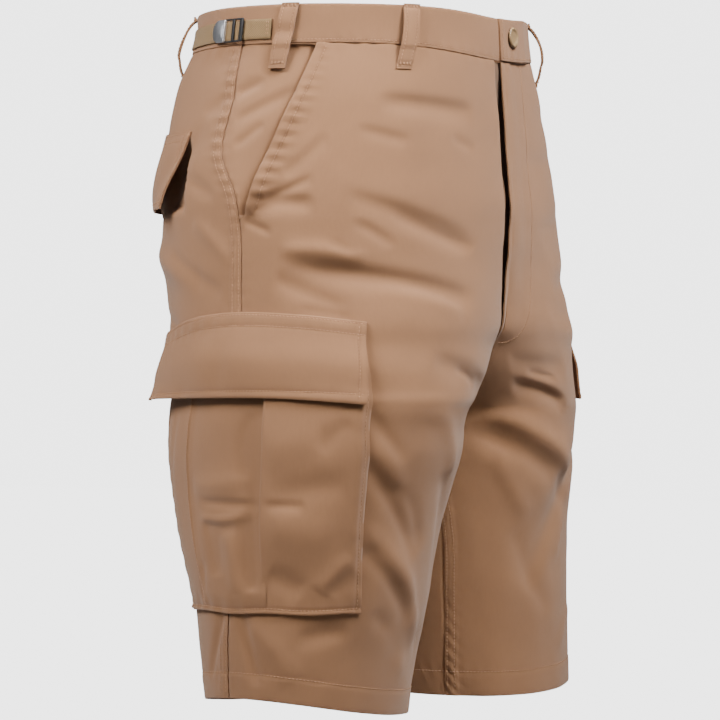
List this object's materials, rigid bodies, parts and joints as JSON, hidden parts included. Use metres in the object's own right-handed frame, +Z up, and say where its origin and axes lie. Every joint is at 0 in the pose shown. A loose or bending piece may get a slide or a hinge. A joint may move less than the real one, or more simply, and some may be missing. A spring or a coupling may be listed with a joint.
{
  "type": "cargo shorts",
  "caption": "Knee-length cargo shorts in worn shape, hollow, with pleated flap pockets on the thighs, belt loops and buckled waist adjusters.",
  "frame": {"origin": "middle of the waist, at half the height of the waistband", "axes": "+Z up along the worn body; the front faces -Y and the wearer's left is toward +X"},
  "size_m": [0.4544, 0.3129, 0.613],
  "materials": {
    "twill": "matt brown cotton twill with a fine diagonal",
    "twill_shade": "the same twill, in the shade of the fly",
    "webbing": "olive tan webbing, ribbed",
    "nickel": "nickel plated steel, lightly worn",
    "button": "tan plastic, semi matt"
  },
  "bodies": {
    "root": {"front_right": "twill", "front_left": "twill", "side_panel_right": "twill", "side_panel_left": "twill", "back_right": "twill", "back_left": "twill", "waistband_right": "twill", "waistband_left": "twill", "cargo_pocket_right": "twill", "cargo_pocket_left": "twill", "cargo_flap_right": "twill", "cargo_flap_left": "twill", "back_flap_right": "twill", "back_flap_left": "twill", "belt_loop_front_right": "twill", "belt_loop_side_right": "twill", "belt_loop_back_right": "twill", "belt_loop_front_left": "twill", "belt_loop_side_left": "twill", "belt_loop_back_left": "twill", "belt_loop_centre_back": "twill", "fly_strip": "twill_shade", "adjuster_end_right": "webbing", "adjuster_end_left": "webbing", "adjuster_strap_right": "webbing", "adjuster_strap_left": "webbing", "adjuster_buckle_right": "nickel", "adjuster_buckle_left": "nickel", "waist_button": "button"}
  },
  "joints": []
}
